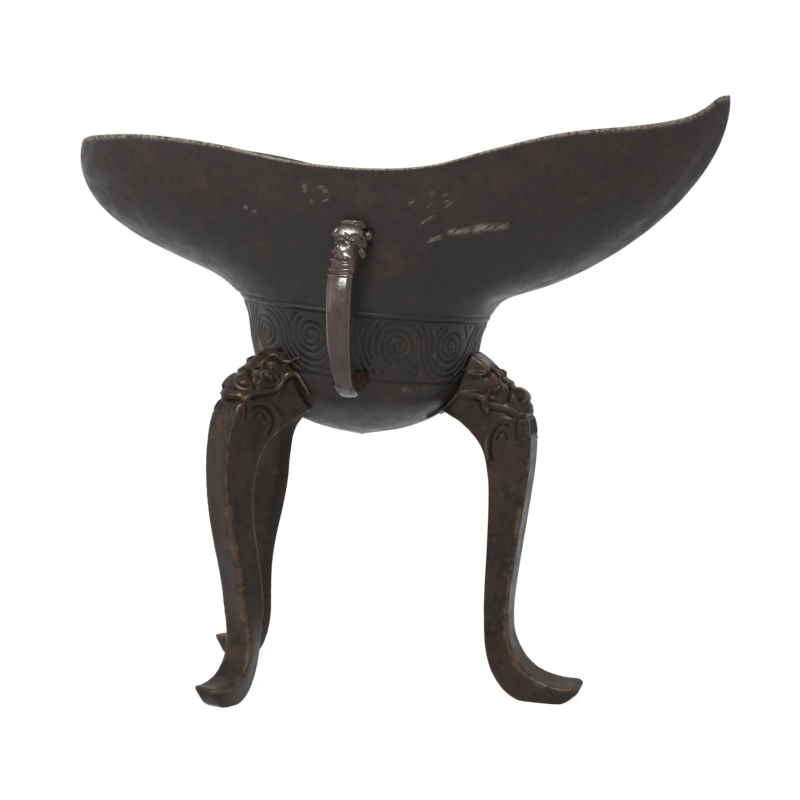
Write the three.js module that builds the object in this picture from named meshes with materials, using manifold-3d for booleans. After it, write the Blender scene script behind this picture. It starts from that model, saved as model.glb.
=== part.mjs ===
// A bronze jue: a three-legged ritual wine vessel, built as cast and brazed pieces.
// Units are millimetres, +Z is up, the spout points to -X, the tail to +X and the handle to -Y.
import * as THREE from 'three';
import { mergeVertices } from 'three/addons/utils/BufferGeometryUtils.js';
import Module from 'manifold-3d';

const wasm = await Module();
wasm.setup();

// Driving dimensions of the mouth
const SPOUT_REACH = 74.6;
const TAIL_REACH = 88.5;
const MOUTH_HALF_WIDTH = 36;
const RIM_THICKNESS = 1.8;
const TAIL_TIP_SOLID = 7;
const TAIL_SHARPNESS = 0.55;
// Height of the rim at each distance along the vessel, from the spout's nose to the tail's tip
const RIM_LINE = [
  [-75, 132.8], [-72.5, 134.8], [-66, 135.8], [-50, 136.1], [-32, 134.3], [-12, 130.6], [6, 129.4],
  [20, 130.7], [34, 135.2], [50, 139.7], [68, 142.4], [80, 145.7],
  [84, 148.4], [86.5, 150.6], [88.5, 151.2],
];
// The rim behind sits lower than the rim on the handle's side
const REAR_RIM_DROP = 1.6;

// Driving dimensions of the cup
const CUP_FLOOR_HEIGHT = 63.3;
const WAIST_RADIUS = 31;
const WAIST_HEIGHT = 95.2;
const WALL_THICKNESS = 2.6;
// Smallest radius of a ring of the wall, where it closes on the cup's axis
const AXIS_RADIUS = 0.02;
const AXIS_LEVEL = 0.02;
// The floor turns into the wall towards this radius
const WALL_UPRIGHT_RADIUS = 28;
const FLOOR_ROUNDING = 0.9;
// The scroll band and all above it lean, lower at the tail
const BAND_SLANT = 0.06;
// Radius, height and share of the lean, from the middle of the floor up to the waist
const CUP_PROFILE = [
  [0, CUP_FLOOR_HEIGHT, 0], [12, 65.9, 0], [20.6, 70.2, 0.1], [25.2, 74.4, 0.4],
  [27.1, 79.8, 1], [28.5, 85.5, 1], [29.4, 91, 1], [WAIST_RADIUS, WAIST_HEIGHT, 1],
];

// Where the wall runs between waist and rim, as shares of the way out and of the way up
const TAIL_SWEEP = [[0.098, 0.212], [0.092, -0.042], [1.055, 0.465]];
const SPOUT_SWEEP = [[0.158, 0.14], [0.089, 0.2], [1.11, 0.33]];
const SIDE_SWEEP = [[0.1, 0.25], [0.35, 0.5], [0.75, 0.75]];
const SWEEP_BLEND = 1.2;
// How far the inner face rises over the outer one at those three places, in wall thicknesses
const SWEEP_FLOOR = [0.6, 1, 0.8];

// Fits
const BRAZE_GAP = 0.3;
const BRAZE_THICKNESS = 0.8;
const TENON_CLEARANCE = 0.3;
const MORTISE_DEPTH = 1.4;
const TENON_INWARD = 7;
const TENON_OUTWARD = 5;
const RIM_OVERSHOOT = 15;

// Legs: all three are cast from one pattern, then trimmed by hand.
// turn: where the leg stands round the cup. outset: how far it moves along X.
// lift: how high the mask sits. bow: how far the shin bulges. ankle: how far the ankle stands out.
// heft: how much thicker it is there. footTurn and footReach: the foot's bend and its length.
const LEGS = {
  leg_right: {
    turn: -6, outset: 1.5, lift: -0.3,
    bow: 0.3, ankle: 0, heft: 0, footTurn: 0, footReach: 1,
  },
  leg_front_left: {
    turn: -132, outset: 0, lift: 0.9,
    bow: 2.3, ankle: -2.2, heft: 2, footTurn: 18, footReach: 0.76,
  },
  leg_rear: {
    turn: 142.5, outset: 0.8, lift: 0,
    bow: -0.7, ankle: 3.9, heft: 0, footTurn: -11, footReach: 0.9,
  },
};
// Middle of the root, where the leg's tenon is
const LEG_ROOT_HEIGHT = 77;
const LEG_TENON_RADIUS = 2.2;
const ANKLE_RADIUS = 32;
const ANKLE_HEIGHT = 24;
const ANKLE_BLEND = 28;
const HEEL_HEIGHT = 8;
const FOOT_BEND_HEIGHT = 14;
const BOW_LOW = 18;
const BOW_HIGH = 80;
// Root: outer edge's r, its height over the root's middle, how deep the inner edge goes in from the cup's
// outer face before it is cut to the braze seam, that edge's height, outer and inner half width
const LEG_ROOT_STATIONS = [
  [24.5, 10, 6.5, 11, 4, 5.5], [29.8, 6.4, 7, 5.5, 5, 7.2], [34, 2.4, 7.5, -0.5, 5.2, 7.6],
  [38.4, -2, 6.3, -5.5, 5.1, 6.6], [41.5, -7.2, 1.6, -9.3, 4.9, 4],
];
// Shin and foot: outer edge r and z, inner edge r and z, outer and inner half width, down to the toe
const LEG_SHIN_STATIONS = [
  [42.2, 64.3, 29.4, 62.2, 4.7, 2.3], [42, 57.5, 31.1, 55.2, 4.4, 1.9], [41.1, 49.8, 31.5, 48.4, 4.3, 1.8],
  [39.7, 38, 31.6, 37.2, 4.2, 1.8], [38.6, 27, 31.6, 26, 4, 1.8], [38.4, 21.2, 31.8, 19.5, 3.9, 1.8],
  [39.5, 16, 32.7, 12.8, 3.9, 1.8], [42, 11.2, 35, 7.4, 3.8, 1.8], [45.1, 8.1, 39.1, 2.5, 3.7, 1.9],
  [48.4, 7, 44.2, -0.3, 3.6, 2], [51.6, 6.9, 49.8, -0.2, 3.5, 2], [54.4, 7.2, 53.7, 2, 3.1, 1.9],
  [55.8, 6.2, 55.5, 4.2, 2.4, 1.6],
];
const LEG_STEPS_PER_STATION = 2;
// Half of a leg's section: share of the depth from the outer to the inner edge, share of the half width
const LEG_SECTION = [[0, 0], [0, 0.88], [0.05, 1], [0.3, 0.86], [0.7, 0.42], [0.95, 0.12], [1, -0.1]];

// Beast mask on each leg's knee: centre along r, to the side and above the root's middle, then the radii
const MASK_MIDDLE_FORMS = [
  [32.2, 0, 3.6, 3.6, 4.4, 2.7], [37.9, 0, -1.9, 3.4, 4.2, 2.7], [41.3, 0, -5.8, 1.6, 4.7, 0.9],
];
const MASK_SIDE_FORMS = [
  [31.2, 5.4, 4.2, 1.5, 1.3, 1.2], [33.4, 5.8, 0.9, 2.3, 1.1, 1.5], [38.2, 4.3, -2.3, 2.2, 1.3, 2],
  [28.8, 7.6, 2, 2.6, 1.4, 1.6], [27.2, 8.4, -1.4, 1.5, 1.2, 2.8], [35.8, 4.4, -10, 4, 1, 4],
];

// Handle, in the plane that turns it to the front
const HANDLE_TURN = -95;
const HANDLE_OUTSET = 6.4;
const HANDLE_LEAN = 0.035;
const HANDLE_HEAD_HEIGHT = 112.2;
const HANDLE_FOOT_HEIGHT = 80.2;
// How deep the foot's end goes in from the cup's outer face, before it is cut to the braze seam
const HANDLE_FOOT_BITE = 2.4;
// Distance from the wall and height over the head's middle
const HANDLE_UPPER_LINE = [[3.5, -3.2], [8.2, -4.6], [11.6, -8.6], [13.2, -14.2]];
// Distance from the cup's axis and height over the foot's middle
const HANDLE_LOWER_LINE = [[46.6, 11.8], [45.6, 5.8], [43, 0.3], [38.2, -2.5], [32.7, -2.2]];
const HANDLE_THICKNESS = 3.6;
const HANDLE_TOP_WIDTH = 6.6;
const HANDLE_BOTTOM_WIDTH = 3.9;
const HANDLE_STEPS = 26;
// The strap's section: share of the half width, share of the half thickness
const HANDLE_SECTION = [
  [-1, 0.4], [-0.7, 0.9], [0, 1], [0.7, 0.9], [1, 0.4], [1, -0.5], [0.7, -0.95], [-0.7, -0.95], [-1, -0.5],
];
const HANDLE_TENON_RADIUS = 1.5;
// Beast head over the handle's top: centre out from the wall, to the side and up, then the three radii
const HEAD_MIDDLE_FORMS = [
  [2.4, 0, 0.2, 4.6, 4.5, 4.3], [0.8, 0, 4.3, 2.6, 4, 1.2], [6.8, 0, -3.5, 3, 3.2, 2.5],
];
const HEAD_SIDE_FORMS = [
  [1.6, 4.5, 0.8, 1.7, 1.2, 1.8], [5.6, 2.3, 0.4, 1.7, 1.8, 1.1], [4.2, 3.4, -3.2, 1.8, 1.1, 1.6],
];

// Facets
const AROUND = 60;
const CUP_RINGS = 10;
const SWEEP_RINGS = 10;
const FORM_SIDES = 8;
const FORM_RINGS = 6;
const ROD_SIDES = 16;
const REACH_PRECISION = 1e-6;

const radians = THREE.MathUtils.degToRad;
const lerp = THREE.MathUtils.lerp;
const clamp = THREE.MathUtils.clamp;
const smooth = THREE.MathUtils.smoothstep;

// Closed solids from rings, and cutting and joining

function ringSolid(rings) {
  const count = rings[0].length;
  const positions = rings.flat().flatMap((point) => point.toArray());
  const index = [];
  for (let r = 0; r + 1 < rings.length; r++) {
    for (let i = 0; i < count; i++) {
      const a = r * count + i;
      const b = r * count + (i + 1) % count;
      index.push(a, b, b + count, a, b + count, a + count);
    }
  }
  const capRing = (ring, first, flip) => {
    const centre = ring.reduce((sum, p) => sum.add(p), new THREE.Vector3()).divideScalar(count);
    const middle = positions.length / 3;
    positions.push(...centre.toArray());
    for (let i = 0; i < count; i++) {
      const pair = [first + i, first + (i + 1) % count];
      index.push(middle, ...(flip ? pair.reverse() : pair));
    }
  };
  capRing(rings[0], 0, true);
  capRing(rings.at(-1), (rings.length - 1) * count, false);
  const geometry = new THREE.BufferGeometry();
  geometry.setAttribute('position', new THREE.Float32BufferAttribute(positions, 3));
  geometry.setIndex(index);
  return signedVolume(geometry) < 0 ? turnedInsideOut(geometry) : geometry;
}

function signedVolume(geometry) {
  const at = geometry.attributes.position;
  const corner = [0, 1, 2].map(() => new THREE.Vector3());
  let sum = 0;
  for (let i = 0; i < geometry.index.count; i += 3) {
    corner.forEach((c, k) => c.fromBufferAttribute(at, geometry.index.getX(i + k)));
    sum += corner[0].dot(corner[1].clone().cross(corner[2])) / 6;
  }
  return sum;
}

function turnedInsideOut(geometry) {
  const index = geometry.index.array;
  for (let i = 0; i < index.length; i += 3) {
    [index[i + 1], index[i + 2]] = [index[i + 2], index[i + 1]];
  }
  return geometry;
}

function toSolid(geometry) {
  const bare = geometry.clone();
  bare.deleteAttribute('normal');
  bare.deleteAttribute('uv');
  const merged = mergeVertices(bare, 1e-4);
  return new wasm.Manifold(new wasm.Mesh({
    numProp: 3,
    vertProperties: new Float32Array(merged.attributes.position.array),
    triVerts: new Uint32Array(merged.index.array),
  }));
}

function toGeometry(solid) {
  const mesh = solid.getMesh();
  const geometry = new THREE.BufferGeometry();
  geometry.setAttribute('position', new THREE.BufferAttribute(new Float32Array(mesh.vertProperties), 3));
  geometry.setIndex(new THREE.BufferAttribute(new Uint32Array(mesh.triVerts), 1));
  geometry.computeVertexNormals();
  return geometry;
}

function turned(geometry, degrees, shiftX = 0) {
  return geometry.rotateZ(radians(degrees)).translate(shiftX, 0, 0);
}

function ellipsoid([r, side, z, radiusR, radiusSide, radiusZ]) {
  const ball = new THREE.SphereGeometry(1, FORM_SIDES, FORM_RINGS);
  return ball.scale(radiusR, radiusSide, radiusZ).translate(r, side, z);
}

// A rod through the wall, whose outer face is at the given distance
function tenonRod(radius, wall, z) {
  const rod = new THREE.CylinderGeometry(radius, radius, TENON_INWARD + TENON_OUTWARD, ROD_SIDES);
  return rod.rotateZ(Math.PI / 2).translate(wall + (TENON_OUTWARD - TENON_INWARD) / 2, 0, z);
}

// Smooth interpolation through rows of numbers

function alongRows(rows, place) {
  const last = rows.length - 1;
  const at = Math.min(Math.floor(place), last - 1);
  const t = place - at;
  const row = (i) => rows[Math.max(0, Math.min(last, i))];
  return rows[0].map((_, k) => {
    const [a, b, c, d] = [row(at - 1)[k], row(at)[k], row(at + 1)[k], row(at + 2)[k]];
    const bend = (2 * a - 5 * b + 4 * c - d) * t * t + (3 * b - a - 3 * c + d) * t * t * t;
    return b + 0.5 * ((c - a) * t + bend);
  });
}

// Value of a smooth line through [x, value] points, at x
function valueAt(line, x) {
  const last = line.length - 1;
  const slope = (i) => {
    const [x0, z0] = line[Math.max(0, i - 1)];
    const [x1, z1] = line[Math.min(last, i + 1)];
    return (z1 - z0) / (x1 - x0);
  };
  let at = 0;
  while (at < last - 1 && line[at + 1][0] < x) at++;
  const [[x0, z0], [x1, z1]] = [line[at], line[at + 1]];
  const t = clamp((x - x0) / (x1 - x0), 0, 1);
  const early = z0 * (1 + 2 * t) + slope(at) * (x1 - x0) * t;
  const late = z1 * (3 - 2 * t) - slope(at + 1) * (x1 - x0) * (1 - t);
  return early * (1 - t) ** 2 + late * t * t;
}

// The vessel's wall: outer face at inset 0, inner face at inset 1

function mouthPoint(angle, inset) {
  const spout = SPOUT_REACH - RIM_THICKNESS * inset;
  const tail = TAIL_REACH - TAIL_TIP_SOLID * inset;
  const width = MOUTH_HALF_WIDTH - RIM_THICKNESS * inset;
  const x = (tail - spout) / 2 + Math.cos(angle) * (tail + spout) / 2;
  const share = Math.min(1, Math.abs(x) / (x < 0 ? spout : tail));
  const roundness = Math.sqrt(1 - share * share);
  const y = width * (x < 0 ? roundness : roundness ** (1 + TAIL_SHARPNESS * share));
  const rear = Math.max(0, Math.sin(angle));
  return new THREE.Vector3(x, y * Math.sign(Math.sin(angle)), valueAt(RIM_LINE, x) - REAR_RIM_DROP * rear);
}

function cupPoint(angle, place, inset) {
  const [radius, height, lean] = alongRows(CUP_PROFILE, place * (CUP_PROFILE.length - 1));
  const upright = Math.min(1, radius / WALL_UPRIGHT_RADIUS);
  const r = Math.max(AXIS_RADIUS, radius - WALL_THICKNESS * inset * upright);
  const x = r * Math.cos(angle);
  const z = height + WALL_THICKNESS * inset * Math.sqrt(Math.max(0, 1 - FLOOR_ROUNDING * upright * upright));
  return new THREE.Vector3(x, r * Math.sin(angle), z - BAND_SLANT * lean * x);
}

function sweepPoint(angle, place, inset) {
  const start = cupPoint(angle, 1, inset);
  const end = mouthPoint(angle, inset);
  const ends = Math.cos(angle) > 0 ? TAIL_SWEEP : SPOUT_SWEEP;
  const blend = Math.abs(Math.cos(angle)) ** SWEEP_BLEND;
  const inner = SIDE_SWEEP.map(([out, up], k) => {
    const point = start.clone().lerp(end, lerp(out, ends[k][0], blend));
    point.z = lerp(start.z, end.z, lerp(up, ends[k][1], blend));
    point.z += SWEEP_FLOOR[k] * WALL_THICKNESS * inset * blend;
    return point;
  });
  let chain = [start, ...inner, end];
  while (chain.length > 1) chain = chain.slice(1).map((p, i) => chain[i].clone().lerp(p, place));
  return chain[0];
}

function wallPoint(angle, level, inset) {
  return level < 1 ? cupPoint(angle, level, inset) : sweepPoint(angle, level - 1, inset);
}

// Distance from the cup's axis to the wall's outer face, at a height and in a direction
function wallReach(height, degrees) {
  let [low, high] = [AXIS_LEVEL, 2];
  while (high - low > REACH_PRECISION) {
    const middle = (low + high) / 2;
    if (wallPoint(radians(degrees), middle, 0).z < height) low = middle;
    else high = middle;
  }
  return wallPoint(radians(degrees), low, 0).setZ(0).length();
}

function wallNormal(angle, level) {
  const step = 0.01;
  const high = Math.min(2, level + step);
  const low = Math.max(AXIS_LEVEL, level - step);
  const up = wallPoint(angle, high, 0).sub(wallPoint(angle, low, 0));
  const round = wallPoint(angle + step, level, 0).sub(wallPoint(angle - step, level, 0));
  return round.cross(up).normalize();
}

const angles = Array.from({ length: AROUND }, (_, i) => 2 * Math.PI * i / AROUND);
const levels = [
  ...Array.from({ length: CUP_RINGS }, (_, i) => Math.max(AXIS_LEVEL, i / CUP_RINGS)),
  ...Array.from({ length: SWEEP_RINGS + 1 }, (_, i) => 1 + i / SWEEP_RINGS),
];

function wallRing(level, inset, offset = 0) {
  return angles.map((angle) => {
    const point = wallPoint(angle, level, inset);
    return offset ? point.addScaledVector(wallNormal(angle, level), offset) : point;
  });
}

function vesselShell() {
  const outside = levels.map((level) => wallRing(level, 0));
  const inside = levels.map((level) => wallRing(level, 1)).reverse();
  return toSolid(ringSolid([...outside, ...inside]));
}

// The vessel filled, grown by an offset and carried up past its rim, used to fit what seats on its wall
function vesselGrown(offset) {
  const rings = levels.map((level) => wallRing(level, 0, offset));
  const above = rings.at(-1).map((point) => point.clone().setZ(point.z + RIM_OVERSHOOT));
  return toSolid(ringSolid([...rings, above]));
}

const brazeInner = vesselGrown(BRAZE_GAP);
const brazeOuter = vesselGrown(BRAZE_GAP + BRAZE_THICKNESS);
const rootFace = vesselGrown(2 * BRAZE_GAP + BRAZE_THICKNESS);
const tenonSeat = vesselGrown(BRAZE_GAP - MORTISE_DEPTH);
const mortiseFloor = vesselGrown(-MORTISE_DEPTH);

// Legs

// The outer face is flat between two ridges, and the sides draw in to a narrow inner face
function legSection([outR, outZ, inR, inZ, outHalf, inHalf]) {
  const mirrored = LEG_SECTION.slice(1).reverse().map(([depth, side]) => [depth, side, -1]);
  return [...LEG_SECTION, ...mirrored].map(([depth, side, hand = 1]) => {
    const half = depth > 0 && side < 1 ? lerp(inHalf, outHalf, side) : outHalf * side;
    return new THREE.Vector3(lerp(outR, inR, depth), half * hand, lerp(outZ, inZ, depth));
  });
}

const nearAnkle = (z) => smooth(ANKLE_HEIGHT + ANKLE_BLEND - z, 0, ANKLE_BLEND);

// Bends the pattern's shin and foot for one leg, and flattens the sole
function trimmed(point, { bow, ankle, footTurn, footReach }) {
  const rise = clamp((point.z - BOW_LOW) / (BOW_HIGH - BOW_LOW), 0, 1);
  point.x += bow * Math.sin(Math.PI * rise) ** 2 + ankle * nearAnkle(point.z);
  const bend = smooth(ANKLE_HEIGHT - point.z, 0, FOOT_BEND_HEIGHT);
  const reach = (point.x - ANKLE_RADIUS) * lerp(1, footReach, bend);
  const angle = radians(footTurn * bend);
  const x = ANKLE_RADIUS + reach * Math.cos(angle) - point.y * Math.sin(angle);
  const y = reach * Math.sin(angle) + point.y * Math.cos(angle);
  return point.set(x, y, Math.max(0, point.z));
}

function withForms(solid, middleForms, sideForms, out, height) {
  const mirrored = sideForms.flatMap(([r, side, ...rest]) => [[r, side, ...rest], [r, -side, ...rest]]);
  return [...middleForms, ...mirrored].reduce((sum, [r, side, up, ...radii]) =>
    sum.add(toSolid(ellipsoid([out + r, side, height + up, ...radii]))), solid);
}

function legPattern(trim) {
  const wall = wallReach(LEG_ROOT_HEIGHT, trim.turn);
  const root = LEG_ROOT_STATIONS.map(([outR, outUp, bite, inUp, ...halves]) =>
    [outR, LEG_ROOT_HEIGHT + outUp, wall - bite, LEG_ROOT_HEIGHT + inUp, ...halves]);
  const stations = [...root, ...LEG_SHIN_STATIONS];
  const steps = (stations.length - 1) * LEG_STEPS_PER_STATION;
  const rings = Array.from({ length: steps + 1 }, (_, i) => {
    const [outR, outZ, ...rest] = alongRows(stations, i / LEG_STEPS_PER_STATION);
    const thickened = outR + trim.heft * nearAnkle(outZ) * smooth(outZ, HEEL_HEIGHT, ANKLE_HEIGHT);
    return legSection([thickened, outZ, ...rest]).map((point) => trimmed(point, trim));
  });
  return toGeometry(withForms(toSolid(ringSolid(rings)), MASK_MIDDLE_FORMS, MASK_SIDE_FORMS,
    0, LEG_ROOT_HEIGHT + trim.lift));
}

// Handle

const headWall = wallReach(HANDLE_HEAD_HEIGHT, HANDLE_TURN);

function handleStrap() {
  const footEnd = wallReach(HANDLE_FOOT_HEIGHT, HANDLE_TURN) - HANDLE_FOOT_BITE;
  const line = new THREE.CatmullRomCurve3([
    ...HANDLE_UPPER_LINE.map(([out, up]) => new THREE.Vector3(headWall + out, 0, HANDLE_HEAD_HEIGHT + up)),
    ...HANDLE_LOWER_LINE.map(([r, up]) => new THREE.Vector3(r, 0, HANDLE_FOOT_HEIGHT + up)),
    new THREE.Vector3(footEnd, 0, HANDLE_FOOT_HEIGHT),
  ]);
  const side = new THREE.Vector3(0, 1, 0);
  const rings = Array.from({ length: HANDLE_STEPS + 1 }, (_, i) => {
    const share = i / HANDLE_STEPS;
    const centre = line.getPoint(share);
    const out = line.getTangent(share).cross(side);
    const half = lerp(HANDLE_TOP_WIDTH, HANDLE_BOTTOM_WIDTH, share) / 2;
    return HANDLE_SECTION.map(([across, depth]) => centre.clone()
      .addScaledVector(side, across * half)
      .addScaledVector(out, depth * HANDLE_THICKNESS / 2));
  });
  return toSolid(ringSolid(rings));
}

function handlePattern() {
  const headed = withForms(handleStrap(), HEAD_MIDDLE_FORMS, HEAD_SIDE_FORMS,
    headWall, HANDLE_HEAD_HEIGHT);
  return toGeometry(headed).applyMatrix4(new THREE.Matrix4().set(
    1, 0, 0, 0, 0, 1, -HANDLE_LEAN, HANDLE_LEAN * HANDLE_FOOT_HEIGHT, 0, 0, 1, 0, 0, 0, 0, 1,
  ));
}

const handleTenons = [HANDLE_HEAD_HEIGHT, HANDLE_FOOT_HEIGHT];

// A cast limb and its braze seams, seated on the vessel

function largest(solid) {
  return solid.decompose().reduce((a, b) => (a.volume() > b.volume() ? a : b));
}

function seated(shape, degrees, shiftX, tenons, radius) {
  const place = (geometry) => toSolid(turned(geometry.clone(), degrees, shiftX));
  const limb = place(shape);
  let body = largest(limb.subtract(rootFace));
  let seam = limb.intersect(brazeOuter).subtract(brazeInner);
  let mortises = null;
  for (const z of tenons) {
    const wall = wallReach(z, degrees);
    const tenon = place(tenonRod(radius, wall, z));
    const hole = place(tenonRod(radius + TENON_CLEARANCE, wall, z));
    body = body.add(tenon.subtract(tenonSeat));
    seam = seam.subtract(hole);
    const cut = hole.subtract(mortiseFloor);
    mortises = mortises ? mortises.add(cut) : cut;
  }
  return { body, seam, mortises };
}

const bronze = new THREE.MeshStandardMaterial({ color: 0x2a211d, roughness: 0.4, metalness: 0.85 });
const legBronze = new THREE.MeshStandardMaterial({ color: 0x3a2a20, roughness: 0.42, metalness: 0.85 });
const braze = new THREE.MeshStandardMaterial({ color: 0x4a3524, roughness: 0.5, metalness: 0.8 });

const jue = new THREE.Group();

function addPiece(name, solid, material) {
  const mesh = new THREE.Mesh(toGeometry(solid), material);
  mesh.name = name;
  jue.add(mesh);
}

let vessel = vesselShell();

for (const [name, trim] of Object.entries(LEGS)) {
  const leg = seated(legPattern(trim), trim.turn, trim.outset, [LEG_ROOT_HEIGHT], LEG_TENON_RADIUS);
  vessel = vessel.subtract(leg.mortises);
  addPiece(name, leg.body, legBronze);
  addPiece(`braze_${name}`, largest(leg.seam), braze);
}

const handle = seated(handlePattern(), HANDLE_TURN, HANDLE_OUTSET, handleTenons, HANDLE_TENON_RADIUS);
vessel = vessel.subtract(handle.mortises);
addPiece('handle', handle.body, bronze);
const handleSeams = handle.seam.decompose().sort((a, b) => b.volume() - a.volume()).slice(0, 2);
const middleHeight = (solid) => (solid.boundingBox().min[2] + solid.boundingBox().max[2]) / 2;
handleSeams.sort((a, b) => middleHeight(b) - middleHeight(a));
addPiece('braze_handle_top', handleSeams[0], braze);
addPiece('braze_handle_bottom', handleSeams[1], braze);
addPiece('vessel_body', vessel, bronze);

// Origin under the middle of the whole object, on the ground
const box = new THREE.Box3().setFromObject(jue);
const middle = box.getCenter(new THREE.Vector3());
jue.position.set(-middle.x, -middle.y, -box.min.z);

export default jue;
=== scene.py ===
"""A patinated bronze jue on a pale studio floor. Lengths are in millimetres until they reach Blender."""
import math

import bpy
import numpy as np
from mathutils import Matrix, Vector
from mathutils.bvhtree import BVHTree
from mathutils.kdtree import KDTree


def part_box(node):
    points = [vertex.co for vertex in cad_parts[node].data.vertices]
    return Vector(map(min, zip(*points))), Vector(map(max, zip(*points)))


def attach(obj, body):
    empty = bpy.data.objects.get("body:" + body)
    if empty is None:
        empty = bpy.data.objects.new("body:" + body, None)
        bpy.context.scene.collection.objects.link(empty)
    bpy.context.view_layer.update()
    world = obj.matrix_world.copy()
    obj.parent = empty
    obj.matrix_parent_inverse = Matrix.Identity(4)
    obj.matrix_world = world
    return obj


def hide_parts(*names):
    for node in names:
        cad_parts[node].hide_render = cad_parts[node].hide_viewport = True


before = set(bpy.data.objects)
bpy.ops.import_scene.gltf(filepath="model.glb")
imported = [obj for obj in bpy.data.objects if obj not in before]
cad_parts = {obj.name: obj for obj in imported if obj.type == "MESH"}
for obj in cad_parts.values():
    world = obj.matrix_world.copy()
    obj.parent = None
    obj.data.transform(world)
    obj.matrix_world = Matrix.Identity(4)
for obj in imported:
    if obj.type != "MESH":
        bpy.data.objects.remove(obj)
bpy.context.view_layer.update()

MM = 0.001

# Camera, as the photograph was taken
CAMERA_TURN = 9.2
CAMERA_DISTANCE = 580.0
CAMERA_HEIGHT = 125.0
CAMERA_ASIDE = 9.2
CAMERA_ROLL = 2.0
CAMERA_PITCH = 5.2
SENSOR_WIDTH = 36.0
LENS = 105.0

# Mouth
AXIS_FROM_SPOUT = 74.6
SPOUT_REACH = 73.4
TAIL_REACH = 87.2
MOUTH_HALF_WIDTH = 36.0
RIM_THICKNESS = 1.8
TAIL_TIP_SOLID = 7.0
TAIL_SHARPNESS = 0.55
RIM_LINE = [
    (-73.6, 132.6), (-71.5, 134.2), (-66, 135.2), (-50, 135.5), (-32, 133.8), (-12, 130.3),
    (6, 129.2), (20, 130.4), (34, 134.6), (50, 139), (68, 141.7), (77, 143.9), (81.5, 146.4),
    (84.6, 149.2), (87.2, 150.1),
]
REAR_RIM_DROP = 1.6
RIM_ROUNDING = 0.35
RIM_SQUARENESS = 6
RIM_INSETS = (0, 0.05, 0.2, 0.5, 0.8, 0.95, 1)

# Marks of age on the wall: direction in degrees, height with the lean taken out, and radius
FLECKS = [
    (-104.8, 124.2, 0.8), (-104.7, 122.9, 0.9), (-99.5, 124.1, 1), (-97.5, 123.4, 1.2),
    (-97.3, 121.3, 0.8), (-102.1, 120.6, 1), (-65.2, 122.6, 0.9), (-58.3, 125, 1.1),
    (-59.3, 122.9, 0.9), (-58.6, 122.3, 0.9), (-54.5, 124.7, 0.8), (-54.1, 123.8, 0.8),
    (-53, 122.8, 1.1), (-60.8, 120.3, 0.7), (-57.9, 119.5, 0.9), (-60.2, 118.3, 1.2),
    (-56.7, 114.2, 1.3), (-54.1, 114.9, 1.3), (-50.3, 116.6, 1.7), (-48, 116.8, 1.5),
    (-46, 117.2, 1.6), (-43, 117.8, 2), (-41.1, 118.4, 2), (-38.2, 118.6, 1.7),
    (-35.8, 119, 1.4), (-127.5, 117.6, 1.1), (-124.5, 116.8, 1.1),
]
BROWN_PATCHES = [
    (-152.6, 129.8, 9), (-159.7, 128.4, 8), (-168, 122, 7), (-141, 128, 6), (-15.6, 131.3, 10),
    (-19.4, 126.4, 9), (-11.8, 136.3, 8), (-7, 140, 7), (-110.8, 125, 7), (-60, 110, 6),
    (-125, 108, 6), (20, 128, 12), (150, 125, 10), (95, 115, 12), (60, 105, 10), (-100, 74, 8),
    (180, 118, 8),
]
WORN_SPOTS = [
    (-58, 77.7, 1.5), (-54.5, 77.8, 1.7), (-50.5, 78.3, 1.6), (-47, 78.5, 1.2),
    (-50.9, 82, 0.9), (-46.2, 92, 0.7), (-41.5, 85.4, 1), (-44, 86.4, 0.9), (-39, 84.4, 0.8),
    (-62.8, 87, 0.8), (-44.6, 89.5, 1.1),
]
FLECK_SHARE = 0.75

# The rim's pale line, painted partly as wear and partly as the highlight on its top, and the brown under
# it: levels where they begin and are full, and how strong they are
RIM_WEAR_AND_HIGHLIGHT_LEVELS = (1.978, 1.995)
RIM_WEAR_AND_HIGHLIGHT = 0.8
RIM_INNER_LOSS = 0.8
RIM_INNER_INSETS = (0.1, 0.6)
RIM_BROWN_LEVELS = (1.45, 1.85)
RIM_BROWN = 0.85

# The wall's waviness, which fades out under the rim
UNEVENNESS = 0.07
UNEVENNESS_TOP = 1.5
RIM_FADE_LEVEL = 1.98
RIM_FADE = 0.1

# Cup: radius, height and share of the lean, from the middle of the floor up to the waist
WALL_THICKNESS = 2.6
WALL_UPRIGHT_RADIUS = 28.0
FLOOR_ROUNDING = 0.9
AXIS_RADIUS = 0.02
BAND_SLANT = 0.06
CUP_PROFILE = [
    (0, 63.3, 0), (12, 65.9, 0), (20.6, 70.2, 0.1), (25.2, 74.4, 0.4),
    (27.1, 79.8, 1), (28.5, 85.5, 1), (29.4, 91, 1), (31, 95.2, 1),
]
TAIL_SWEEP = [(0.098, 0.212), (0.092, -0.042), (1.055, 0.465)]
SPOUT_SWEEP = [(0.158, 0.14), (0.089, 0.2), (1.11, 0.33)]
SIDE_SWEEP = [(0.1, 0.25), (0.35, 0.5), (0.75, 0.75)]
SWEEP_BLEND = 1.2
SWEEP_FLOOR = (0.6, 1, 0.8)

# The cup's axis in the row frame, from the vessel's box
vessel_low, vessel_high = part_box("vessel_body")
AXIS = np.array([vessel_low.x / MM + AXIS_FROM_SPOUT, (vessel_low.y + vessel_high.y) / 2 / MM, 0])

# Scroll band: angles round the cup, and heights with the lean taken out
BAND_RADIUS = 29.5
BAND_FOOT = 79.4
BAND_TOP = 94.4
BORDER_TOP = 95.9
BAND_UNITS = 5
BAND_START = math.radians(-49)
LEFT_SPIRAL = (-7.5, 8.6)
RIGHT_SPIRAL = (7.5, 9.2)
STRAND_PITCH = 1.5
GROOVE_DEPTH = 0.25
GROOVE_HALF_WIDTH = 0.62
LINE_STEP = 0.12

# Seams between limbs and wall
LIMB_START = 0.3
SEAM_TOP = 0.27
SEAM_FOOT = 0.02
SEAM_SHRINK = 0.05
RELIEF_CLEARANCE = 0.05

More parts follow.
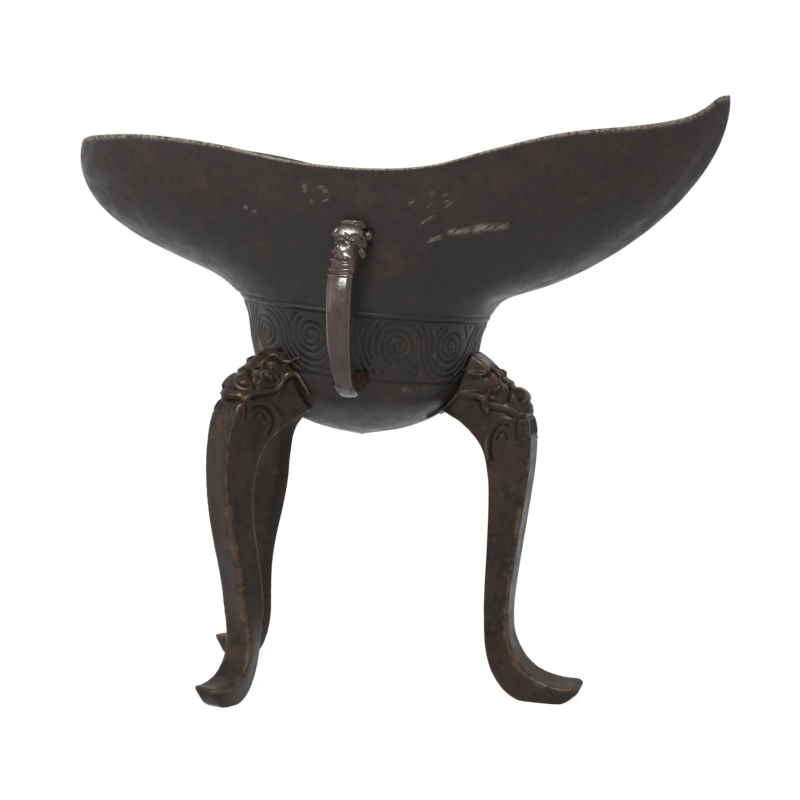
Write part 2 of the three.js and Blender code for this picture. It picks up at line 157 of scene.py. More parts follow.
# Legs: trimmed one by one from a common pattern
LEGS = {
    "leg_right": dict(turn=-6, outset=1.5, lift=-1.2, bow=0.3, ankle=0, heft=0, foot_turn=0, foot_reach=1,
                      foot_tilt=0.2, stretch=1.25, mask_depth=0.75, ear_drop=2.2),
    "leg_front_left": dict(turn=-132, outset=0, lift=0.9, bow=2.4, ankle=-1.9, heft=1.4, foot_turn=18,
                           foot_reach=0.79, foot_tilt=0, stretch=1, mask_depth=1, ear_drop=0),
    "leg_rear": dict(turn=142.5, outset=0.8, lift=0, bow=-0.7, ankle=4.9, heft=0, foot_turn=8,
                     foot_reach=0.64, foot_tilt=0, stretch=1.15, mask_depth=0.9, ear_drop=1),
}
LEG_ROOT_HEIGHT = 77.0
ANKLE_RADIUS = 32.0
ANKLE_HEIGHT = 24.0
ANKLE_BLEND = 28.0
HEEL_HEIGHT = 8.0
FOOT_BEND_HEIGHT = 14.0
BOW_LOW = 18.0
BOW_HIGH = 80.0
# Root: outer edge's r and height over the root's middle, bite into the wall, inner edge's height,
# and both half widths
LEG_ROOT_STATIONS = [
    (24.5, 10, 6.5, 11, 4, 5.5), (29.8, 6.4, 7, 5.5, 5, 7.2), (34, 2.4, 7.5, -0.5, 5.2, 7.6),
    (38.4, -2, 6.3, -5.5, 5.1, 6.6), (41.5, -7.2, 1.6, -9.3, 4.9, 4),
]
# Shin and foot: outer edge r and z, inner edge r and z, outer and inner half width, down to the toe
LEG_SHIN_STATIONS = [
    (42.2, 64.3, 29.4, 62.2, 4.7, 2.3), (42, 57.5, 31.1, 55.2, 4.4, 1.9),
    (41.1, 49.8, 31.5, 48.4, 4.3, 1.8), (39.7, 38, 31.6, 37.2, 4.2, 1.8),
    (38.6, 27, 31.6, 26, 4, 1.8), (38.4, 21.2, 31.8, 19.5, 3.9, 1.8),
    (39, 15.6, 32.4, 12.8, 3.9, 1.8), (41.4, 10.5, 34.2, 7, 3.9, 1.9),
    (45.1, 7.1, 38, 2.2, 3.9, 2.1), (49, 5.6, 43, 0, 4, 2.4), (52.5, 5.1, 48.2, -0.5, 4, 2.5),
    (55.3, 5.2, 52.8, 0.7, 3.7, 2.3), (56.9, 4.7, 56, 3, 2.7, 1.8),
]
LEG_SECTION = [(0, 0), (0, 0.88), (0.05, 1), (0.3, 0.86), (0.7, 0.42), (0.95, 0.12), (1, -0.1)]
SECTION_STEPS = 6
RUBBED_CORNER = 2
RUBBED_HEIGHT = 48.0
RUBBED_WIDTH = 1.9

# Mask: centre along r, to the side and above the root's middle, then three radii
MASK_MIDDLE_FORMS = [
    (31.3, 0, 3.2, 3.2, 3.9, 2.6), (32.6, 0, 1.2, 4.2, 5.5, 3), (37.2, 0, -1.3, 3.8, 4, 2.9),
    (38.2, 0, -3.3, 3.6, 4.8, 1.9),
]
MASK_SIDE_FORMS = [(31, 4, 3.9, 1.5, 1.2, 1)]
# Rods that run from the mask onto the vessel's wall: radius, then points
MASK_RODS = {
    "brow": (0.8, [
        (34, 3, 3.9), (32.4, 2.7, 4.9), (30.6, 2.7, 5.6), (29.3, 3.2, 5.8), (28.7, 4.3, 5.1),
        (28.4, 5.4, 4.4), (28, 6.6, 4.8), (27.6, 8, 5.5), (27, 9.4, 5.8)]),
    "ear": (0.95, [
        (31, 5.2, -1.9), (29.6, 5.4, -1.1), (28.8, 5.7, 0.3), (28.1, 6.2, 1.4), (27.1, 7, 1.8),
        (26.3, 7.9, 1), (25.7, 8.7, -0.4), (24.9, 9.4, -2), (24.2, 9.8, -3.7)]),
}
ROD_END_SHARE = 0.6
MASK_FRONT = 36.5
BESIDE_LEG = 6.3
NOSTRIL = (38.3, 3, -0.4)
NOSTRIL_AXIS = (0.35, 0.65, 0.68)
NOSTRIL_RING = 2.1
NOSTRIL_ROD = 0.55
NOSTRIL_BALL = 0.8
# Strokes: half width and height, then the points that they pass on one half of the mask
MASK_STROKES = {
    "under_brow": (0.9, -0.6, [
        (35, 3.4, 3.6), (33.7, 2.6, 5.2), (31.7, 2.7, 6), (30.4, 3.6, 5.6), (29.5, 4.8, 4.4),
        (28.6, 6, 3.9)]),
    "eye_rim": (0.5, 0.45, [
        (35.2, 5, 2), (34.2, 5.4, 2.7), (32.8, 5.6, 2.6), (31.3, 5.7, 1.8), (30.2, 5.6, 0.7),
        (30, 5.5, -0.2), (31, 5.5, -0.8), (32.4, 5.5, -0.9), (33.8, 5.5, -0.2), (34.8, 5.3, 0.9),
        (35.2, 5, 2)]),
    "eyeball": (0.9, 0.45, [(33.4, 5.8, 1.5), (32, 5.9, 0.7)]),
    "bridge": (0.9, -0.6, [(36.5, 0.6, 3.2), (36.8, 3, 1.8), (36.8, 4.6, 0.2), (36.4, 5.2, -1.4)]),
    "jaw": (0.75, 0.35, [
        (29.2, 5.8, -0.4), (30.6, 5.6, -1.8), (32.4, 5.5, -2.3), (34.8, 5.5, -2.5), (37, 5.4, -2.9),
        (39.3, 5, -3.9)]),
    "under_jaw": (0.7, -0.3, [
        (30.6, 5.5, -3.2), (33, 5.4, -3.5), (35.4, 5.3, -3.7), (37.6, 5.3, -4.4)]),
    "upper_lip": (0.45, 0.35, [(39, 5, -4), (40.6, 4.3, -3.7), (41.8, 2.2, -3.5), (42.2, 0, -3.4)]),
    "under_lip": (0.5, -0.35, [(39.8, 4.9, -4.7), (41.2, 4.1, -4.4), (42.1, 2, -4.2), (42.4, 0, -4.1)]),
    "inner_tooth": (0.5, 0.35, [(42.4, 0.8, -4.9), (42.6, 1.2, -7.6)]),
    "outer_tooth": (0.5, 0.35, [(41.9, 2.6, -4.9), (42.2, 3, -7.6)]),
    "corner_tooth": (0.5, 0.3, [(40.9, 4.3, -5), (41.2, 4.6, -7.6)]),
    "chin": (0.45, 0.3, [(40.4, 5, -8.6), (42, 3.4, -8.7), (42.6, 0, -8.7)]),
    "corner": (0.6, -0.35, [(39, 5.1, -5), (38.6, 5, -6.8), (38.8, 5, -9)]),
    "cheek_ridge": (0.75, 0.35, [
        (37.2, 5.1, -5), (34.6, 5.2, -4.9), (32.4, 5.2, -5.6), (30.5, 5.1, -7.1), (29.2, 4.7, -9.2),
        (28.8, 4.2, -11.2), (29.4, 3.8, -13.2)]),
    "cheek_groove": (0.7, -0.35, [
        (36.6, 5, -6.2), (34.6, 5, -6.1), (32.9, 5, -6.8), (31.5, 4.9, -8.2), (30.5, 4.5, -10),
        (30.3, 4.1, -11.8), (30.9, 3.8, -13.4)]),
    "cheek_lens": (1.5, 0.3, [(34.4, 4.8, -8.6), (33, 4.6, -10.6), (32.6, 4.4, -12.2)]),
    "cheek_swirl": (0.5, -0.3, [
        (36.2, 4.8, -8.8), (35.2, 4.9, -7.6), (33.8, 4.8, -7.9), (32.6, 4.7, -9.2)]),
    "forehead": (0.5, -0.3, [(34.4, 0.9, 4.6), (32.4, 0.9, 6.4), (30, 0.9, 7.6)]),
}

# Handle, in the plane that turns it to the front
HANDLE_TURN = -95
HANDLE_OUTSET = 6.4
HANDLE_LEAN = 0.035
HANDLE_HEAD_HEIGHT = 112.2
HANDLE_FOOT_HEIGHT = 80.2
HANDLE_FOOT_BITE = 2.4
HANDLE_UPPER_LINE = [(3.5, -3.2), (8.2, -4.6), (11.6, -8.6), (13.2, -14.2)]
HANDLE_LOWER_LINE = [(46.6, 11.8), (45.6, 5.8), (43, 0.3), (38.2, -2.5), (32.7, -2.2)]
HANDLE_THICKNESS = 3.6
HANDLE_TOP_WIDTH = 6.6
HANDLE_BOTTOM_WIDTH = 3.9
HANDLE_SECTION = [
    (-1, 0.4), (-0.7, 0.9), (0, 1), (0.7, 0.9), (1, 0.4), (1, -0.5), (0.7, -0.95), (-0.7, -0.95),
    (-1, -0.5),
]
# Forms of the head: out from the wall, to the side and above its middle, then three radii
HEAD_MIDDLE_FORMS = [
    (2.2, 0, -0.2, 4.2, 4.3, 3.9), (0.6, 0, 3.6, 2.4, 3.6, 1.6), (6.6, 0, -3.3, 2.9, 3, 2.1),
]
# Flat forms of the head: as above, then how far they lean back and turn to the tail, in degrees
HEAD_PLATES = [(5.2, 0, 1.9, 0.7, 3.7, 2.4, 23, 9), (8.1, -0.2, -1.7, 0.7, 2.3, 1.6, 25, 9)]
HEAD_SIDE_FORMS = [(1.7, 4.2, 1.4, 1.3, 0.9, 1.2), (4, 3.3, -2.8, 1.5, 0.9, 1.3)]
# Strokes on the head: half width and height, then points to the side and up, laid on from in front
HEAD_STROKES = {
    "hair": (0.5, 0.3, [(-3.2, 4.2), (-1, 4.7), (1, 4.5), (3.2, 4.7)]),
    "hair_groove": (0.45, -0.25, [(-3.6, 3.6), (-1, 4.1), (1, 3.9), (3.6, 4)]),
    "forehead_crease": (0.35, -0.25, [(-2.3, 2.7), (-2.9, 1.6), (-3.2, 0.6)]),
    "brow_crease": (0.35, -0.2, [(-0.3, 1.7), (0.2, 0.9)]),
    "plate_edge": (0.5, -0.4, [
        (-3.8, 0), (-2.2, 0.6), (-0.8, 0.6), (0.4, -0.1), (1.1, 0.9), (2.2, 1.3), (3.6, 0.7)]),
    "wrinkle_high": (0.35, -0.2, [(-3.4, -0.9), (-2, -0.1), (-0.6, -0.2), (0.3, -0.8)]),
    "wrinkle_low": (0.35, -0.2, [(-3.4, -1.7), (-2.2, -0.8), (-0.8, -0.8)]),
    "mouth": (0.4, -0.3, [(-2.6, -3.6), (-1.2, -3.5), (0.2, -3.8), (1.8, -3.6)]),
    "lower_lip": (0.5, 0.5, [(-3.2, -4.3), (-1.6, -4.3), (-0.2, -4.8), (1.4, -4.8), (2.4, -4)]),
    "collar_high": (0.45, 0.25, [(-3.4, -6.2), (0, -6.5), (3.4, -6.2)]),
    "collar_low": (0.45, 0.25, [(-3.3, -7.6), (0, -7.8), (3.3, -7.6)]),
    "collar_groove": (0.5, -0.25, [(-3.3, -6.9), (0, -7.1), (3.3, -6.9)]),
}
HEAD_PAIRS = {
    "lid": (0.42, 0.45, [(0.9, 0.2), (2.1, 0.2), (3.3, -0.5)]),
    "whisker_in": (0.38, 0.45, [(0.8, -0.7), (2.2, -1.9), (3.5, -3)]),
    "whisker_out": (0.38, 0.4, [(2.2, -0.6), (2.9, -1.5), (3.8, -2.6)]),
}
TOOTH_PITS = [(-1.6, -3.4), (-0.1, -3.6), (1.2, -3.6)]
TOOTH_PIT_SIZE = (0.5, -0.45)
HEAD_FRONT = 30.0

# Bronzes: colours as linear red, green and blue, and the ridges' bend where wear begins and is full
BRONZES = {
    "dark_bronze": dict(
        dark=(0.0078, 0.0068, 0.0068), brown=(0.0115, 0.0075, 0.0062), red=(0.023, 0.0105, 0.0075),
        brown_share=0.15, roughness=0.38, gloss=0.27, wear_low=0.9, wear_high=2.2),
    "leg_bronze": dict(
        dark=(0.0115, 0.0086, 0.0076), brown=(0.021, 0.0142, 0.0108), red=(0.036, 0.017, 0.0105),
        brown_share=0.5, roughness=0.36, gloss=0.12, wear_low=0.4, wear_high=1.2),
    "handle_bronze": dict(
        dark=(0.013, 0.0082, 0.007), brown=(0.026, 0.014, 0.0105), red=(0.042, 0.018, 0.012),
        brown_share=0.5, roughness=0.22, gloss=0.5, wear_low=0.4, wear_high=1.2),
    "braze": dict(
        dark=(0.011, 0.0078, 0.0062), brown=(0.019, 0.012, 0.0085), red=(0.03, 0.014, 0.009),
        brown_share=0.4, roughness=0.5, gloss=0.18, wear_low=0.9, wear_high=2.2),
}
WORN_COLOUR = (0.12, 0.077, 0.048)
# Pale colour of the flecks, and of the rim line that is painted partly as wear and partly as a highlight
FLECK_AND_RIM_HIGHLIGHT_COLOUR = (0.17, 0.15, 0.12)
LIGHT_SPECK = 1.9
DARK_SPECK = 0.35
HOLLOW_DARK = 0.3
WORN_METAL = 0.9
# Noises over the metal: scale, detail and roughness
NOISES = {
    "clouds": (45, 5, 0.55), "blotches": (130, 4, 0.6), "grain": (900, 5, 0.6),
    "specks": (620, 6, 0.75), "dark_specks": (380, 6, 0.7), "ragged": (330, 6, 0.7),
    "fleck_grain": (1100, 5, 0.7), "polish": (260, 5, 0.6), "pits": (500, 4, 0.55),
    "fine_pits": (1600, 3, 0.55),
}
# Shares drawn from a noise: its name, where the share begins and is full, then its value at both
NOISE_SHARES = {
    "patch": ("blotches", 0.35, 0.6, 0.2, 1),
    "red_blotch": ("blotches", 0.54, 0.7, 0, 1),
    "red_cloud": ("clouds", 0.42, 0.58, 0, 1),
    "red_grain": ("grain", 0.5, 0.62, 0, 1),
    "light_specks": ("specks", 0.52, 0.68, 0, 0.55),
    "dark_specks": ("dark_specks", 0.5, 0.68, 0, 0.6),
    "ragged": ("ragged", 0.3, 0.7, -1, 1),
    "worn": ("clouds", 0.38, 0.6, 0.15, 0.6),
    "gold": ("specks", 0.4, 0.56, 0.25, 0.42),
    "fleck": ("fleck_grain", 0.4, 0.56, 0.1, 1),
}
CLOUD_RANGE = (0.5, 0.72)
CLOUD_SHIFT = 0.3
HOLLOW_RANGE = (-0.03, -0.6)
GOLD_RANGE = (0.45, 1.0)
FLECK_AND_RIM_HIGHLIGHT_RANGE = (0.1, 1.0)
RAGGED_WEAR = 0.9
RAGGED_GOLD = 0.5
POLISH_RANGE = (0.3, 0.75)
ROUGHNESS_SPREAD = (-0.06, 0.12)
ROUGHER = {"fleck": 0.25, "hollow": 0.2, "patch": 0.12, "worn": -0.15}
BUMP_STRENGTH = 0.3
BUMP_DEPTH = 0.0002
FINE_PIT_SHARE = 0.4

# White floor, and lamps in metres and watts: size, power and place
FLOOR_SIZE = 12
FLOOR_COLOUR = (0.9, 0.9, 0.9)
FLOOR_GLOW = 1.12
FLOOR_GLOW_SHARE = 0.8
WORLD_LIGHT = 0.6
LAMPS = {
    "key": ((0.26, 0.2), 8, (-0.04, -0.62, 0.66)),
    "fill": ((0.4, 0.4), 1.25, (-0.6, -0.5, 0.35)),
}
LAMP_TARGET = (0, 0, 0.09)

# Meshing
FINE_AROUND = 720
COARSE_AROUND = 360
LOWEST_LEVEL = 0.01
BAND_LEVELS = (0.55, 1.045)
CUP_ROWS, BAND_ROWS, BOWL_ROWS = 20, 66, 58
INNER_BOWL_ROWS, INNER_CUP_ROWS = 26, 16
TOOL_AROUND = 180
TOOL_ROWS = 40
TOOL_ABOVE = 15.0
LEG_RINGS = 150
HANDLE_RINGS = 160
HANDLE_AROUND = 72
BALL_POLE = 0.0001
ROD_STEP = 0.25
LIMB_VOXEL = 0.26
LEG_ROUNDS = 4
HANDLE_ROUNDS = 3
FINISH_STRENGTH = 0.4


# Smooth lines through rows of numbers

def along_rows(rows, place):
    rows = np.asarray(rows, float)
    last = len(rows) - 1
    at = np.minimum(np.floor(place).astype(int), last - 1)
    t = (place - at)[..., None]
    a, b, c, d = (rows[np.clip(at + step, 0, last)] for step in (-1, 0, 1, 2))
    bend = (2 * a - 5 * b + 4 * c - d) * t ** 2 + (3 * b - a - 3 * c + d) * t ** 3
    return b + 0.5 * ((c - a) * t + bend)


def along_all(rows, count):
    return along_rows(rows, np.linspace(0, len(rows) - 1, count))


def value_at(line, x):
    xs, zs = np.asarray(line, float).T
    last = len(xs) - 1
    before = np.maximum(np.arange(last + 1) - 1, 0)
    after = np.minimum(np.arange(last + 1) + 1, last)
    slope = (zs[after] - zs[before]) / (xs[after] - xs[before])
    at = np.clip(np.searchsorted(xs, x) - 1, 0, last - 1)
    width = xs[at + 1] - xs[at]
    t = np.clip((x - xs[at]) / width, 0, 1)
    early = zs[at] * (1 + 2 * t) + slope[at] * width * t
    late = zs[at + 1] * (3 - 2 * t) - slope[at + 1] * width * (1 - t)
    return early * (1 - t) ** 2 + late * t * t


def smooth_line(points, step=LINE_STEP):
    """Points at about equal steps along a smooth line through the given ones."""
    points = np.asarray(points, float)
    dense = along_all(points, 40 * len(points))
    run = np.concatenate([[0], np.cumsum(np.linalg.norm(np.diff(dense, axis=0), axis=1))])
    wanted = np.linspace(0, run[-1], max(2, int(run[-1] / step) + 1))
    return np.stack([np.interp(wanted, run, column) for column in dense.T], -1)


def smoothstep(x, low, high):
    t = np.clip((x - low) / (high - low), 0, 1)
    return t * t * (3 - 2 * t)


def unit(vectors):
    return vectors / np.maximum(np.linalg.norm(vectors, axis=-1, keepdims=True), 1e-12)


def hump(distance, half_width):
    """1 on the line, falling smoothly to 0 at the half width."""
    return 0.5 + 0.5 * np.cos(np.pi * np.clip(distance / half_width, 0, 1))


# The vessel's wall: outer face at inset 0, inner face at inset 1

def mouth_points(angle, inset=0.0):
    spout = SPOUT_REACH - RIM_THICKNESS * inset
    tail = TAIL_REACH - TAIL_TIP_SOLID * inset
    width = MOUTH_HALF_WIDTH - RIM_THICKNESS * inset
    x = (tail - spout) / 2 + np.cos(angle) * (tail + spout) / 2
    share = np.minimum(1, np.abs(x) / np.where(x < 0, spout, tail))
    roundness = np.sqrt(1 - share * share)
    y = width * np.where(x < 0, roundness, roundness ** (1 + TAIL_SHARPNESS * share))
    side = np.sin(angle)
    z = value_at(RIM_LINE, x) - REAR_RIM_DROP * np.maximum(0, side)
    return np.stack([x, y * np.sign(side), z], -1)


def cup_points(angle, place, inset=0.0):
    radius, height, lean = np.moveaxis(along_rows(CUP_PROFILE, place * (len(CUP_PROFILE) - 1)), -1, 0)
    upright = np.minimum(1, radius / WALL_UPRIGHT_RADIUS)
    r = np.maximum(AXIS_RADIUS, radius - WALL_THICKNESS * inset * upright)
    z = height + WALL_THICKNESS * inset * np.sqrt(np.maximum(0, 1 - FLOOR_ROUNDING * upright ** 2))
    return np.stack([r * np.cos(angle), r * np.sin(angle), z - BAND_SLANT * lean * r * np.cos(angle)], -1)


def sweep_points(angle, place, inset=0.0):
    start = cup_points(angle, np.ones_like(angle), inset)
    end = mouth_points(angle, inset)
    blend = np.abs(np.cos(angle)) ** SWEEP_BLEND
    tailward = np.cos(angle) > 0
    chain = [start]
    for side, tail, spout, floor in zip(SIDE_SWEEP, TAIL_SWEEP, SPOUT_SWEEP, SWEEP_FLOOR):
        out = side[0] * (1 - blend) + np.where(tailward, tail[0], spout[0]) * blend
        up = side[1] * (1 - blend) + np.where(tailward, tail[1], spout[1]) * blend
        point = start + (end - start) * np.stack([out, out, up], -1)
        point[..., 2] += floor * WALL_THICKNESS * inset * blend
        chain.append(point)
    chain.append(end)
    while len(chain) > 1:
        chain = [a + (b - a) * place[..., None] for a, b in zip(chain, chain[1:])]
    return chain[0]


def wall_points(angle, level, inset=0.0):
    angle, level = np.broadcast_arrays(np.asarray(angle, float), np.asarray(level, float))
    low = cup_points(angle, np.minimum(level, 1), inset)
    high = sweep_points(angle, np.maximum(level - 1, 0), inset)
    return np.where((level < 1)[..., None], low, high)


def wall_normals(angle, level):
    step = 0.004
    low = np.maximum(level - step, step)
    high = np.minimum(level + step, 2)
    up = wall_points(angle, high) - wall_points(angle, low)
    across = wall_points(angle + step, level) - wall_points(angle - step, level)
    return unit(np.cross(across, up))


def wall_reach(height, degrees):
    """Distance from the cup's axis to the wall's outer face, at a height and in a direction."""
    angle = math.radians(degrees)
    low, high = 2 * LOWEST_LEVEL, 2.0
    while high - low > 1e-6:
        middle = (low + high) / 2
        if wall_points(angle, middle)[2] < height:
            low = middle
        else:
            high = middle
    return float(np.linalg.norm(wall_points(angle, low)[:2]))


# Meshes

def ring_angles(count):
    return 2 * np.pi * np.arange(count) / count


def circle(count, first, second):
    """Points round the circle that two arrows span."""
    turn = ring_angles(count)[:, None]
    return np.cos(turn) * first + np.sin(turn) * second


def strip(first, first_count, second, second_count):
    """Triangles between two rings, one with as many points as the other, or a whole multiple."""
    if first_count > second_count:
        return [face[::-1] for face in strip(second, second_count, first, first_count)]
    times = second_count // first_count
    faces = []
    for i in range(first_count):
        here, there = first + i, first + (i + 1) % first_count
        fine = [second + (i * times + k) % second_count for k in range(times + 1)]
        turn = (times + 1) // 2
        faces += [(here, fine[k + 1], fine[k]) for k in range(turn)]
        faces.append((here, there, fine[turn]))
        faces += [(there, fine[k + 1], fine[k]) for k in range(turn, times)]
    return faces


def placed(name, data):
    made = bpy.data.objects.new(name, data)
    bpy.context.scene.collection.objects.link(made)
    return made


def new_object(name, points, faces):
    mesh = bpy.data.meshes.new(name)
    mesh.from_pydata(points.tolist(), [], np.asarray(faces).tolist())
    return placed(name, mesh)


def add_piece(name, points, faces, slot, node, **layers):
    """A piece in place of a node, from points round the cup's axis, with layers that its bronze reads."""
    piece = new_object(name, (points + AXIS) * MM, faces)
    for layer, values in layers.items():
        attribute = piece.data.attributes.new(layer, "FLOAT", "POINT")
        attribute.data.foreach_set("value", np.ascontiguousarray(values, np.float32))
    piece.data.shade_smooth()
    piece.data.materials.append(bronzes[slot])
    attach(piece, "root")
    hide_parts(node)


def finished_arrays(draft, *helpers):
    """Points and triangles of an object with its modifiers applied. It and its helpers then go."""
    seen = draft.evaluated_get(bpy.context.evaluated_depsgraph_get()).to_mesh()
    points = np.empty(len(seen.vertices) * 3)
    seen.vertices.foreach_get("co", points)
    triangles = np.empty(len(seen.loop_triangles) * 3, np.int32)
    seen.loop_triangles.foreach_get("vertices", triangles)
    for thing in (draft, *helpers):
        mesh = thing.data
        bpy.data.objects.remove(thing)
        bpy.data.meshes.remove(mesh)
    return points.reshape(-1, 3), triangles.reshape(-1, 3)


def melted(shells):
    """One skin round closed shells that overlap."""
    start, points, faces = 0, [], []
    for shell_points, shell_faces in shells:
        points.append(shell_points)
        faces += [tuple(start + i for i in face) for face in shell_faces]
        start += len(shell_points)
    draft = new_object("draft", np.concatenate(points), faces)
    remesh = draft.modifiers.new("melt", "REMESH")
    remesh.mode = "VOXEL"
    remesh.voxel_size = LIMB_VOXEL
    return finished_arrays(draft)


def cut(points, faces, tool, operation):
    draft = new_object("draft", points, faces)
    other = new_object("tool", *tool)
    boolean = draft.modifiers.new("cut", "BOOLEAN")
    boolean.operation = operation
    boolean.solver = "MANIFOLD"
    boolean.object = other
    return finished_arrays(draft, other)


def skin_normals(points, triangles):
    a, b, c = (points[triangles[:, k]] for k in range(3))
    face = np.cross(b - a, c - a)
    normals = np.zeros_like(points)
    for k in range(3):
        np.add.at(normals, triangles[:, k], face)
    return unit(normals)


def neighbour_means(triangles, count):
    """A function that gives each point the mean of a value over its neighbours."""
    start = np.concatenate([triangles[:, k] for k in (0, 1, 2, 1, 2, 0)])
    stop = np.concatenate([triangles[:, k] for k in (1, 2, 0, 0, 1, 2)])
    number = np.maximum(np.bincount(start, minlength=count), 1)

    def mean(values):
        if values.ndim == 1:
            return np.bincount(start, values[stop], count) / number
        return np.stack([mean(column) for column in values.T], -1)
    return mean


def relaxed(points, mean, rounds, strength=0.5):
    for _ in range(rounds):
        points = points + strength * (mean(points) - points)
    return points


def ridge_measure(points, triangles, mean, rounds):
    """How sharply the skin bends, per millimetre: above 0 on ridges, below 0 in hollows."""
    middle = mean(points)
    square = np.sum(points ** 2, axis=1)
    spread = mean(square) - 2 * np.sum(points * middle, axis=1) + square
    height = np.einsum("ij,ij->i", points - middle, skin_normals(points, triangles))
    bend = 2 * height / np.maximum(spread, 1e-4)
    for _ in range(rounds):
        bend = mean(bend)
    return bend


def ball(centre, radii, columns=40, rows=24):
    level = circle(columns, (1, 0, 0), (0, 1, 0))
    tilts = [BALL_POLE, *np.pi * np.arange(1, rows) / rows, np.pi - BALL_POLE]
    points, faces = loft([np.sin(tilt) * level + np.cos(tilt) * np.array([0, 0, 1]) for tilt in tilts])
    return points * radii + centre, faces


def rod(points, radius, columns=16):
    """A closed shell along a smooth line, with rounded ends, that gets thinner as it goes."""
    line = smooth_line(points, ROD_STEP)
    ahead = unit(np.gradient(line, axis=0))
    side = unit(np.cross(ahead, (0.31, 0.17, 0.94)))
    up = np.cross(ahead, side)
    run = np.minimum(np.arange(len(line)), np.arange(len(line))[::-1]) * ROD_STEP / radius
    swell = radius * np.sqrt(np.clip(1 - np.clip(1 - run, 0, 1) ** 2, 0.02, 1))
    swell *= np.linspace(1, ROD_END_SHARE, len(line))
    return loft([place + size * circle(columns, a, b) for place, size, a, b in zip(line, swell, side, up)])


def torus(centre, axis, ring, radius, columns=40, rows=14):
    axis = unit(np.array(axis))
    side = unit(np.cross(axis, (0, 0, 1)))
    points = [centre + out * ring + radius * circle(rows, out, axis)
              for out in circle(columns, side, np.cross(axis, side))]
    faces = []
    for j in range(columns):
        faces += strip(j * rows, rows, (j + 1) % columns * rows, rows)
    return np.concatenate(points), faces


def loft(rings):
    """A closed shell through rings with as many points each."""
    count = len(rings[0])
    points = np.concatenate([*rings, [rings[0].mean(0)], [rings[-1].mean(0)]])
    faces = []
    for j in range(len(rings) - 1):
        faces += strip(j * count, count, (j + 1) * count, count)
    first, last = len(points) - 2, len(points) - 1
    faces += [(first, (i + 1) % count, i) for i in range(count)]
    end = (len(rings) - 1) * count
    faces += [(last, end + i, end + (i + 1) % count) for i in range(count)]
    a, b, c = (points[np.array(faces)[:, k]] for k in range(3))
    if np.einsum("ij,ij->", a, np.cross(b, c)) < 0:
        faces = [face[::-1] for face in faces]
    return points, faces


# Relief, as heights along a skin's normals

def gaps_to(line, points):
    """Distance of each point to the nearest of the line's points."""
    tree = KDTree(len(line))
    for number, point in enumerate(line.tolist()):
        tree.insert(point, number)
    tree.balance()
    return np.array([tree.find(point)[2] for point in points.tolist()])


class Relief:
    def __init__(self, points, triangles):
        self.points = points
        self.normals = skin_normals(points, triangles)
        self.tree = BVHTree.FromPolygons(points.tolist(), triangles.tolist())
        self.raised = np.zeros(len(points))
        self.sunk = np.zeros(len(points))

    def laid(self, line):
        """The line's points moved to the nearest place on the skin."""
        return np.array([self.tree.find_nearest(point)[0] for point in line.tolist()])

    def shone(self, line, away):
        """The line's points moved onto the skin along a direction, those that miss it left out."""
        hits = [self.tree.ray_cast(Vector(point), Vector(away))[0] for point in line.tolist()]
        return np.array([hit for hit in hits if hit is not None])

    def mark(self, line, half_width, height):
        low, high = line.min(0) - half_width, line.max(0) + half_width
        near = np.flatnonzero(np.all((self.points > low) & (self.points < high), axis=1))
        form = abs(height) * hump(gaps_to(line, self.points[near]), half_width)
        field = self.raised if height > 0 else self.sunk
        field[near] = np.maximum(field[near], form)

    def applied(self):
        return self.points + self.normals * (self.raised - self.sunk)[:, None]


# Scroll band

def spiral(centre, outer, inner, start, turns):
    """A line round a centre, from one radius to the other."""
    count = max(2, int(abs(turns) * math.pi * (outer + inner) / LINE_STEP))
    share = np.linspace(0, 1, count)
    angle = math.radians(start) + 2 * np.pi * turns * share
    radius = outer + (inner - outer) * share
    return np.stack([centre[0] + radius * np.cos(angle), centre[1] + radius * np.sin(angle)], -1)


def arc(centre, radius, start, stop):
    return spiral(centre, radius, radius, start, (stop - start) / 360)


def band_lines():
    """Grooves of one unit of the scroll band, from its middle and up from the band's foot."""
    lines = [
        spiral(LEFT_SPIRAL, 4.6, 0.6, 250, -2.6),
        spiral(RIGHT_SPIRAL, 4.6, 0.6, 120, 2.6),
        arc((-2.6, 3), 1.3, 60, 400),
        arc((-12.4, 2.5), 1.4, 170, 380),
        arc((10.6, 0.9), 1.2, 20, 170),
    ]
    ends = [[(15.6, 4), (18, 8.4), (19.6, 15)], [(14.3, 5.4), (16.6, 9.6), (18.1, 15)],
            [(13, 6.6), (15.1, 10.8), (16.5, 15)]]
    for k, end in enumerate(ends):
        over = arc(LEFT_SPIRAL, 6 + STRAND_PITCH * k, 198 + 8 * k, 0)
        under = arc(RIGHT_SPIRAL, 9 - STRAND_PITCH * k, 180, 296)
        lines.append(np.concatenate([over, under, smooth_line([under[-1], *end])]))
    lines += [
        arc(RIGHT_SPIRAL, 6, 150, 24),
        arc(RIGHT_SPIRAL, 7.5, 122, 40),
        arc(LEFT_SPIRAL, 10.5, 170, 222),
        arc(LEFT_SPIRAL, 12, 176, 214),
    ]
    return np.pad(np.concatenate(lines), ((0, 0), (0, 1)))


